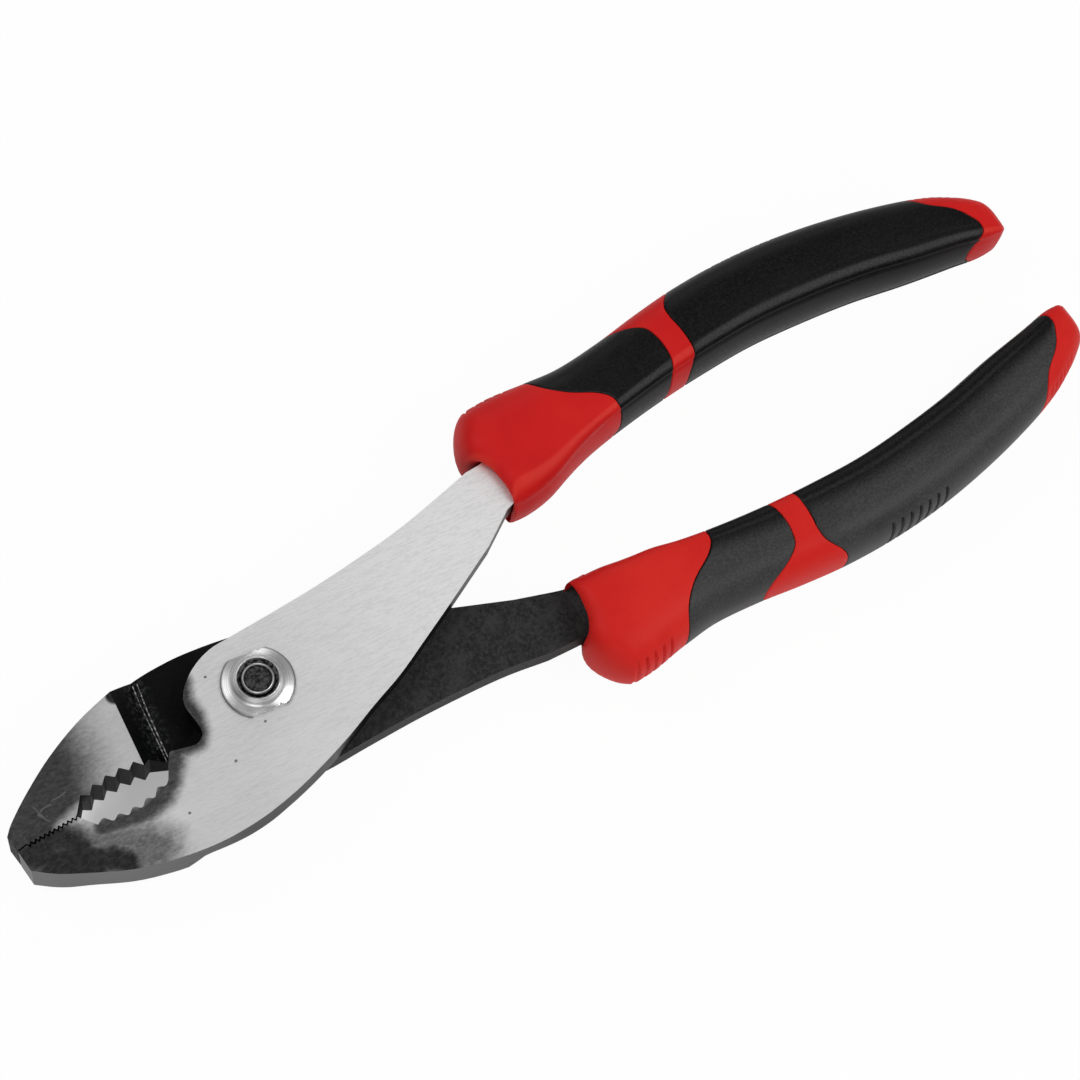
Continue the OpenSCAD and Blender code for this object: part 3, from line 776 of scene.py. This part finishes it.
# Share of the length, then the roll of the inner top edge: its width, its height, the swell of the wall
# below it and the depth of the crease between
EDGE_TABLE = (
    (0, 4.6, 3.9, 0.4, 0), (0.04, 4.3, 3.7, 0.4, 0), (0.08, 3.5, 3.1, 0.5, 0), (0.12, 2.7, 2.4, 0.5, 0),
    (0.16, 2.1, 1.9, 0.5, 0), (0.2, 1.7, 1.6, 0.6, 0.04), (0.27, 2.1, 1.5, 0.7, 0.26),
    (0.5, 2.7, 1.7, 0.8, 0.3), (0.75, 2.7, 1.7, 0.8, 0.26), (0.9, 2.3, 1.7, 0.6, 0.12),
    (0.97, 1.9, 1.7, 0.3, 0), (1, 0.8, 0.8, 0.1, 0))

# Seams: place across the grip from -1, inner, to 1, outer, then the share of the length
GUARD_SEAM = ((-1, 0.248), (-0.82, 0.244), (-0.5, 0.24), (-0.15, 0.219), (0.25, 0.178), (0.6, 0.151),
              (1, 0.136))
BAND_FRONT = ((-1, 0.352), (-0.63, 0.36), (-0.27, 0.361), (0.04, 0.358), (0.37, 0.35), (0.69, 0.325),
              (1, 0.285))
BAND_REAR = ((-1, 0.392), (-0.86, 0.4), (-0.49, 0.402), (-0.11, 0.4), (0.24, 0.397), (0.58, 0.402),
             (1, 0.432))
TIP_SEAM = ((-1, 0.922), (-0.8, 0.945), (-0.44, 0.95), (-0.16, 0.942), (0.17, 0.924), (0.45, 0.889),
            (1, 0.863))
# Share of the length of the tip's last ring
TIP_END = 0.999

# Mouth: place across the grip, then how far past MOUTH_X its front lies at half height and at the top and
# bottom. The outer half stands forward as a round lobe.
MOUTH = ((-1, 1.5, 1.6), (-0.6, 1.6, 1.8), (-0.3, 1.3, 1.4), (-0.1, 0.6, 0.7), (0.1, -1.0, 0.3),
         (0.3, -1.4, -0.1), (0.52, -1.2, 0.2), (0.7, -0.8, 0.8), (0.85, -0.4, 1.4), (1, 0.2, 2.0))
# Place across the grip, then the length of the rounded front edge
MOUTH_ROUND = ((-1, 0.8), (-0.8, 1.8), (-0.4, 3.0), (0, 3.4), (0.5, 3.2), (1, 3.3))
# Steps of the front face, as shares of the way from the tang's opening to the outer surface. Those below
# LIP_SHARE stand back by LIP_BACK, and those above it turn into the rounded edge.
MOUTH_STEPS = (0.05, 0.12, 0.22, 0.34, 0.46, 0.58, 0.68, 0.77, 0.85, 0.91, 0.955, 0.985)
LIP_SHARE = 0.12
LIP_BACK = 0.14
# Share of the length where the surface is taken that the front face runs out to. An oval gives each of its
# points a direction: the oval's middle, half its width and half its height
MOUTH_BASE = 0.025
OVAL_MIDDLE = 16.2
OVAL_WIDTH = 8.8
OVAL_HEIGHT = 6.5

# The tang's opening: where its straight wall starts and ends behind the front, its two sides, half its
# height and the power of its rounded outline
HOLE_START = 0.5
HOLE_DEPTH = 3.0
HOLE_LOW = {"upper": 7.9, "lower": 8.4}
HOLE_HIGH = 17.4
HOLE_HALF = 5.3
HOLE_POWER = 7.0

# Grooves and ribs on the outer side: places of the first and last one, their number, their depth and the
# height that they reach
GROOVES = ((54.8, 61.8, 5, 0.5, 5.4), (105.8, 117.6, 7, 0.7, 5.4), (144.5, 151.0, 6, 0.25, 5.0))
GROOVE_WIDTH = 0.66
GROOVE_FADE = 0.9
# The place across the grip where they start
GROOVE_FROM = 0.3

# Half sections: power of the outer round, where the level top meets it, and how far the top falls towards
# the roll. Below FULL_WIDTH and FULL_HALF the edges shrink with the section.
OUTER_POWER = 2.5
TOP_SHARE = 0.42
TOP_CROWN = 0.35
FULL_WIDTH = 12
FULL_HALF = 5
# Depth below the roll of the crease and of the wall under it
CREASE_BELOW = 0.12
WALL_BELOW = 0.3

# Points of a half section: outer round, top, roll and inner wall
OUTER_POINTS = 24
TOP_POINTS = 10
ROLL_POINTS = 8
WALL_POINTS = 8


def guard_shift(which, s):
    return GUARD_SHIFT[which] * smooth(s, -0.02, 0.05) * (1 - smooth(s, 0.09, 0.17))


def lobe_shift(which, s):
    return LOBE_SHIFT[which] * (1 - smooth(s, 0.02, 0.13))


def half_section(which, s):
    """Points v, z from the outermost over the top to the innermost, with v from the middle line and z
    from the middle plane."""
    out = table_at(GRIP_SHARES, s, 1) * GRIP_OUT + lobe_shift(which, s)
    inn = table_at(GRIP_SHARES, s, 2) * GRIP_OUT + guard_shift(which, s)
    h = table_at(GRIP_SHARES, s, 3) * GRIP_T
    fit = min(1.0, (out - inn) / FULL_WIDTH, h / FULL_HALF)
    roll_w, roll_h, swell, crease = (table_at(EDGE_TABLE, s, c) * fit for c in (1, 2, 3, 4))
    crown = TOP_CROWN * fit
    v_roll = inn + swell + roll_w
    v_top = lerp(v_roll, out, TOP_SHARE)
    z_roll = h - crown
    z_crease = z_roll - roll_h
    points = []
    for k in range(OUTER_POINTS):
        a = math.pi / 2 * k / OUTER_POINTS
        points.append((v_top + (out - v_top) * math.cos(a) ** (2 / OUTER_POWER),
                       h * math.sin(a) ** (2 / OUTER_POWER)))
    for k in range(TOP_POINTS):
        u = k / TOP_POINTS
        points.append((lerp(v_top, v_roll, u), h - crown * u * u))
    for k in range(ROLL_POINTS + 1):
        b = math.pi / 2 * k / ROLL_POINTS
        points.append((v_roll - roll_w * math.sin(b), z_roll - roll_h * (1 - math.cos(b))))
    points.append((inn + swell + crease, z_crease - CREASE_BELOW * fit))
    for k in range(1, WALL_POINTS + 1):
        u = 1 - k / WALL_POINTS
        points.append((inn + swell * u * u, (z_crease - WALL_BELOW * fit) * u))
    return points


def section(which, s):
    """Whole closed section, with the place of each point across the grip from -1 to 1."""
    top = half_section(which, s)
    ring = top + [(v, -z) for v, z in reversed(top[1:-1])]
    low = min(v for v, _ in ring)
    high = max(v for v, _ in ring)
    return [(v, z, 2 * (v - low) / (high - low) - 1) for v, z in ring]


# Places across the grip of a section's points, taken as the same at every share of the length
ACROSS = [across for _, _, across in section("upper", 0.3)]
SECTION_N = len(ACROSS)


def groove_depth(x, z, across):
    """Depth of the grooves at a place along the grip, on its outer side only."""
    if across < GROOVE_FROM:
        return 0.0
    total = 0.0
    for first, last, count, depth, reach in GROOVES:
        pitch = (last - first) / (count - 1)
        k = clamp(round((x - first) / pitch), 0, count - 1)
        off = abs(x - first - k * pitch)
        if off < GROOVE_WIDTH / 2:
            wall = 1 - (2 * off / GROOVE_WIDTH) ** 2
            total = max(total, depth * wall * (1 - smooth(abs(z), reach - GROOVE_FADE, reach)))
    return total


class Grip:
    """Surface of one grip: points from the share of the length and the place round the section."""

    def __init__(self, which):
        self.which = which
        self.sections = {}

    def ring_at(self, s):
        """The section at a share of the length and its normals, kept for the next call."""
        key = round(s, 5)
        if key not in self.sections:
            ring = section(self.which, max(key, 0.0))
            normals = []
            for j in range(SECTION_N):
                (v0, z0, _), (v1, z1, _) = ring[j - 1], ring[(j + 1) % SECTION_N]
                size = math.hypot(v1 - v0, z1 - z0) or 1.0
                normals.append(((z1 - z0) / size, -(v1 - v0) / size))
            self.sections[key] = ring, normals
        return self.sections[key]

    def point(self, s, k, inset=0.0):
        ring, normals = self.ring_at(s)
        v, z, across = ring[k]
        depth = inset + groove_depth(MOUTH_X + s * GRIP_L, z, across)
        return v - normals[k][0] * depth, z - normals[k][1] * depth

    def seam_at(self, seam, k):
        """Share of the length of a seam: one share for each point, a table across the grip or a number."""
        if isinstance(seam, list):
            return seam[k]
        return table_at(seam, ACROSS[k]) if isinstance(seam, tuple) else seam

    def ring(self, start, end, u, inset=0.0, shift=0.0):
        """One ring between two seams, u from 0 to 1, moved along by shift."""
        ring = []
        for k in range(SECTION_N):
            s = lerp(self.seam_at(start, k), self.seam_at(end, k), u) + shift / GRIP_L
            v, z = self.point(min(s, 1.0), k, inset)
            ring.append((MOUTH_X + s * GRIP_L, v, z))
        return ring

    def front(self, v, z):
        """Where the mouth's front face lies along the tool."""
        low, high = (table_at(GRIP_SHARES, 0, c) * GRIP_OUT for c in (2, 1))
        across = clamp((2 * v - low - high) / (high - low), -1, 1)
        level = clamp(abs(z) / (0.5 * GRIP_T)) ** 2
        return MOUTH_X + lerp(table_at(MOUTH, across, 1), table_at(MOUTH, across, 2), level)

    def mouth(self):
        """Rings from inside the tang's opening, round the lip, to the start of the outer surface, and
        that start as a seam."""
        rings = [[] for _ in range(len(MOUTH_STEPS) + 2)]
        start = []
        low = HOLE_LOW[self.which]
        middle, half = (low + HOLE_HIGH) / 2, (HOLE_HIGH - low) / 2
        for k in range(SECTION_N):
            v, z = self.point(MOUTH_BASE, k)
            a = math.atan2(z / OVAL_HEIGHT, (v - OVAL_MIDDLE) / OVAL_WIDTH)
            hole_v = middle + half * signed_power(math.cos(a), 2 / HOLE_POWER)
            hole_z = HOLE_HALF * signed_power(math.sin(a), 2 / HOLE_POWER)
            edge = self.front(hole_v, hole_z)
            rings[0].append((edge + HOLE_DEPTH, hole_v, hole_z))
            rings[1].append((edge + HOLE_START, hole_v, hole_z))
            round_length = table_at(MOUTH_ROUND, ACROSS[k])
            for ring, share in zip(rings[2:], MOUTH_STEPS):
                here_v, here_z = lerp(hole_v, v, share), lerp(hole_z, z, share)
                x = self.front(here_v, here_z)
                if share < LIP_SHARE:
                    x += LIP_BACK
                else:
                    u = (share - LIP_SHARE) / (1 - LIP_SHARE)
                    x += round_length * (1 - math.sqrt(1 - u * u))
                ring.append((x, here_v, here_z))
            start.append((self.front(v, z) + round_length - MOUTH_X) / GRIP_L)
        return rings, start

    def make(self, part, suffix, rings, faces, material):
        """A piece from rings. The lower grip is the upper moulding turned over."""
        sign = 1 if self.which == "upper" else -1
        points = [(x, sign * v - GRIP_DROP, MID_Z + sign * z) for ring in rings for x, v, z in ring]
        if sign < 0:
            faces = [tuple(reversed(face)) for face in faces]
        node = f"{self.which}_grip_{part}"
        piece(f"{node}_{suffix}", points, faces, (material,), f"{self.which}_half", (node,))


# A rounded seam edge: steps of distance from the seam and inset. SEAM_HALF is half the seam's width.
EDGE_STEPS = ((0.0, 0.45), (0.0, 0.22), (0.03, 0.1), (0.1, 0.03), (0.22, 0.0))
SEAM_HALF = 0.04
# Inset of the core under the sleeves, and of the sleeves' own inner wall, its steps and how far it ends
# from each seam
CORE_INSET = 1.3
LINING_INSET = 1.1
LINING_STEPS = 10
LINING_END = 0.3


def even(count):
    return [k / count for k in range(1, count)]


def dense(count, first, last, fine):
    """Stations with a fine stretch between first and last."""
    rough = [u for u in even(count) if u < first or u > last]
    return sorted(rough + [lerp(first, last, k / fine) for k in range(fine + 1)])


# Stations of the rings between two seams
GUARD_STATIONS = dense(34, 0.01, 0.9, 70)
UNDER_NECK = [0.01, 0.5, 0.99]
BAND_STATIONS = even(10)
UNDER_MAIN = [0.005] + even(12) + [0.995]
TIP_STATIONS = even(60)
NECK_STATIONS = even(30)
MAIN_STATIONS = dense(60, 0.15, 0.5, 120)


def stretch(grip, start, end, stations, edge_start=True, edge_end=True):
    """Rings of a surface between two seams, with rounded edges."""
    rings = []
    if edge_start:
        rings += [grip.ring(start, end, 0, inset, SEAM_HALF + off) for off, inset in EDGE_STEPS]
    else:
        rings.append(grip.ring(start, end, 0))
    rings += [grip.ring(start, end, u) for u in stations]
    if edge_end:
        rings += [grip.ring(start, end, 1, inset, -SEAM_HALF - off) for off, inset in reversed(EDGE_STEPS)]
    return rings


def lining(grip, start, end):
    """Rings of a sleeve's inner wall, from its end back to its start."""
    rings = []
    for k in range(LINING_STEPS + 1):
        u = k / LINING_STEPS
        rings.append(grip.ring(start, end, 1 - u, LINING_INSET, LINING_END * (2 * u - 1)))
    return rings


def build_grip(which):
    grip = Grip(which)
    core, start = grip.mouth()
    core += stretch(grip, start, GUARD_SEAM, GUARD_STATIONS, edge_start=False)
    core += [grip.ring(GUARD_SEAM, BAND_FRONT, u, CORE_INSET) for u in UNDER_NECK]
    core += stretch(grip, BAND_FRONT, BAND_REAR, BAND_STATIONS)
    core += [grip.ring(BAND_REAR, TIP_SEAM, u, CORE_INSET) for u in UNDER_MAIN]
    core += stretch(grip, TIP_SEAM, TIP_END, TIP_STATIONS, edge_end=False)
    grip.make("core", "red", core, capped_skin(len(core), SECTION_N), "red")
    for part, first, last, stations in (("neck_sleeve", GUARD_SEAM, BAND_FRONT, NECK_STATIONS),
                                        ("main_sleeve", BAND_REAR, TIP_SEAM, MAIN_STATIONS)):
        rings = stretch(grip, first, last, stations) + lining(grip, first, last)
        grip.make(part, "soft", rings, skin(len(rings), SECTION_N, True), "rubber")


build_grip("upper")
build_grip("lower")


# Levers, bolt and nut

softened("upper_lever", "upper_lever_edges", ("upper_face", "edge", "side", "black_steel", "side"),
         "upper_half", jaw_side)
softened("lower_lever", "lower_lever_edges",
         ("lower_face", "black_steel", "black_steel", "black_steel", "teeth"),
         "lower_half")

# Thin ridge left along the foot of the wall beside the lap, as two rails side by side
RIDGE_RADIUS = 0.11
for number, path in enumerate((WALL_FOOT, WALL_FOOT_INNER), 1):
    tube(f"wall_foot_ridge_{number}", [(x, y, LAP_TOP) for x, y in path], RIDGE_RADIUS, "worn",
         "lower_half")

# The nut's rows: radius, then height above its base. The profile has two flats, the bore is round.
NUT_BASE = TOP_Z + GAP
NUT_FLATS = (5.1, 82.0)
NUT_PROFILE = (
    (3.0, 0.0), (5.95, 0.0), (6.06, 0.06), (6.1, 0.16), (6.09, 0.32), (6.02, 0.44), (5.9, 0.53),
    (5.75, 0.6), (5.4, 0.76), (4.95, 0.96), (4.6, 1.12), (4.38, 1.24), (4.22, 1.4), (4.08, 1.65),
    (3.95, 1.9), (3.8, 2.15), (3.72, 2.32), (3.64, 2.42), (3.55, 2.45), (3.46, 2.41))
NUT_BORE = ((3.4, 2.3), (3.33, 2.05), (3.25, 1.7), (3.1, 1.4), (2.92, 1.28), (2.86, 1.2), (2.86, 0.0))
nut = [(r, NUT_BASE + z, NUT_FLATS, 0) for r, z in NUT_PROFILE]
# The bore takes the darker worn steel as painted shade in the groove round the bolt
nut += [(r, NUT_BASE + z, None, 1) for r, z in NUT_BORE]
lathe("pivot_nut_turned", nut, ("nickel", "worn"), "upper_half", ("pivot_nut",))

# The bolt. Its head has rows of radius and height, its key has two flats, its journal is round. The rows of
# its end are radius, height above the nut's base and the material's number: a bright ring, the rest dark.
BOLT_HEAD = (
    (0.3, 0.0), (5.9, 0.0), (6.3, 0.12), (6.6, 0.45), (6.7, 0.9), (6.7, 2.8), (6.6, 3.2), (6.3, 3.45),
    (5.99, 3.55))
BOLT_KEY = (3.1, 15.0)
KEY_RADIUS = 4.3
KEY_START = 3.56
JOURNAL_RADIUS = 3.5
JOURNAL_END = TOP_Z - 0.1
BOLT_END = (
    (2.75, -2.0, 0), (2.75, 1.7, 0), (2.71, 1.95, 1), (2.63, 2.2, 1), (2.52, 2.37, 1), (2.42, 2.42, 1),
    (2.33, 2.36, 1), (2.26, 2.15, 0), (2.05, 1.88, 0), (1.2, 1.8, 0), (0.3, 1.84, 0))
bolt = [(r, z, None, 0) for r, z in BOLT_HEAD]
bolt += [(KEY_RADIUS, z, BOLT_KEY, 0) for z in (KEY_START, LAP_TOP)]
bolt += [(JOURNAL_RADIUS, z, None, 0) for z in (MID_Z, JOURNAL_END)]
bolt += [(r, NUT_BASE + z, None, number) for r, z, number in BOLT_END]
lathe("pivot_bolt_turned", bolt, ("bolt", "nickel"), "pivot", ("pivot_bolt",))


# Camera, from the photo's own geometry: angles in degrees, distance in metres, lens in millimetres

AIM = Vector((54.028, -1.104, MID_Z)) * MM
CAMERA_TILT = 22.3316
CAMERA_TURN = -136.7545
CAMERA_ROLL = 15.2294
CAMERA_DISTANCE = 494.57 * MM
FOCAL_MM = 98.513
SENSOR_MM = 36

tilt, turn, roll = (math.radians(a) for a in (CAMERA_TILT, CAMERA_TURN, CAMERA_ROLL))
away = Vector((math.sin(tilt) * math.cos(turn), math.sin(tilt) * math.sin(turn), math.cos(tilt)))
side = Vector((0, 0, 1)).cross(away).normalized()
rise = away.cross(side)
right = math.cos(roll) * side + math.sin(roll) * rise
up = away.cross(right)
camera_data = bpy.data.cameras.new("camera")
camera_data.lens = FOCAL_MM
camera_data.sensor_width = SENSOR_MM
camera = bpy.data.objects.new("camera", camera_data)
turned = Matrix((right, up, away)).transposed().to_4x4()
camera.matrix_world = Matrix.Translation(AIM + CAMERA_DISTANCE * away) @ turned
bpy.context.scene.collection.objects.link(camera)
bpy.context.scene.camera = camera


# Floor and light

# Half the floor's side in metres, and the strip of it that lies in the shade of the jaws, seen through
# the pipe grip
FLOOR_HALF = 3.0
JAW_SHADE = lines_along(((-29.0, -5.5), (-20.5, -0.5)))
# Shares of plain white that the camera and the reflections see of the floor
GLOW_SEEN = 0.96
GLOW_REFLECTED = 0.45
# Strengths of the white backdrop: for the camera, in reflections and as soft light
SKY_SEEN = 1.0
SKY_REFLECTED = 0.25
SKY_LIGHT = 0.18

# Soft lamps, in metres: the point they aim at, then name, direction from it, distance, size and radiance
LAMP_AIM = Vector((0.05, 0, 0.01))
LAMPS = (
    ("overhead", (0.30, 0.25, 0.92), 1.2, 0.9, 0.2),
    ("front_right", (0.46, -0.45, 0.77), 0.9, 0.5, 4.4),
    ("left", (-0.40, 0.43, 0.81), 0.9, 0.42, 3.4),
    ("behind", (0.40, 0.80, 0.45), 0.9, 0.35, 2.3),
    ("front_left", (-0.60, -0.65, 0.45), 1.0, 0.6, 1.5),
)


def floor_material():
    """White paper: it keeps shadows, and the camera sees it near white."""
    n = Nodes("white_paper")
    n.coat(n.mix(n.noise(cells=0.05, detail=2.0), grey(0.95), grey(0.98)), 0.9, specular=0.0)
    glow = n.add("ShaderNodeEmission")
    open_floor = n.marked(JAW_SHADE, wobble=0.1, near=3.0, far=11.0, inside=0.38, outside=1.0)
    surface = n.add("ShaderNodeMixShader")
    n.wire(n.times(n.seen(GLOW_SEEN, GLOW_REFLECTED), open_floor), surface.inputs[0])
    n.wire(n.shader.outputs[0], surface.inputs[1])
    n.wire(glow.outputs[0], surface.inputs[2])
    n.wire(surface.outputs[0], n.tree.nodes["Material Output"].inputs["Surface"])
    return n.material


def make_floor():
    mesh = bpy.data.meshes.new("floor")
    corners = [(x * FLOOR_HALF, y * FLOOR_HALF, 0) for x, y in ((-1, -1), (1, -1), (1, 1), (-1, 1))]
    mesh.from_pydata(corners, [], [(0, 1, 2, 3)])
    mesh.materials.append(floor_material())
    floor = bpy.data.objects.new("floor", mesh)
    bpy.context.scene.collection.objects.link(floor)


def softbox(name, direction, distance, size, radiance):
    """A square soft light of the given radiance, aimed at the tool."""
    data = bpy.data.lights.new(name, "AREA")
    data.shape = "SQUARE"
    data.size = size
    data.energy = radiance * math.pi * size * size
    lamp = bpy.data.objects.new(name, data)
    way = Vector(direction).normalized()
    lamp.location = LAMP_AIM + way * distance
    lamp.rotation_mode = "QUATERNION"
    lamp.rotation_quaternion = (-way).to_track_quat("-Z", "Y")
    bpy.context.scene.collection.objects.link(lamp)


def make_backdrop():
    world = bpy.data.worlds.new("studio")
    bpy.context.scene.world = world
    world.use_nodes = True
    n = Tree(world.node_tree)
    background = n.tree.nodes["Background"]
    n.wire((1, 1, 1, 1), background.inputs["Color"])
    n.wire(n.most(n.seen(SKY_SEEN, SKY_REFLECTED), SKY_LIGHT), background.inputs["Strength"])


make_floor()
for lamp in LAMPS:
    softbox(*lamp)
make_backdrop()

bpy.context.scene.view_settings.view_transform = "Standard"
